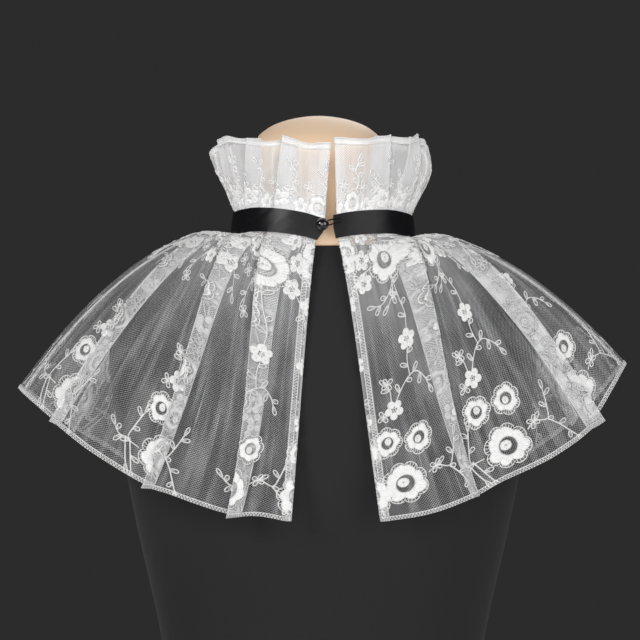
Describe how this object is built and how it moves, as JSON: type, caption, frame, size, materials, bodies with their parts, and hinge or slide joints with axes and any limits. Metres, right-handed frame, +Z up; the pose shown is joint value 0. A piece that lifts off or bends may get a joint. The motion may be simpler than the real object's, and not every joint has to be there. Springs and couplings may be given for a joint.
{
  "type": "lace collar on a dress form",
  "caption": "Detachable pleated lace capelet collar with a standing ruffle, a black satin neck ribbon and a round button, on a limbless dress form",
  "frame": {"origin": "Middle of the dress form's flat underside, on the surface it stands on", "axes": "+Z up, -Y towards the front closing of the collar, +X to the viewer's right of someone facing the front"},
  "size_m": [0.4847, 0.2792, 0.6437],
  "materials": {
    "lace": "fine machine net with raised matt cotton embroidery",
    "satin": "glossy satin ribbon",
    "button_gloss": "polished round bead",
    "form_cover": "matt jersey cover",
    "form_neck": "smooth satin paint"
  },
  "bodies": {
    "root": {"form_body": "form_cover", "form_neck": "form_neck", "capelet": "lace", "ruffle": "lace", "ribbon": "satin", "button": "button_gloss", "button_loop": "satin"}
  },
  "joints": []
}
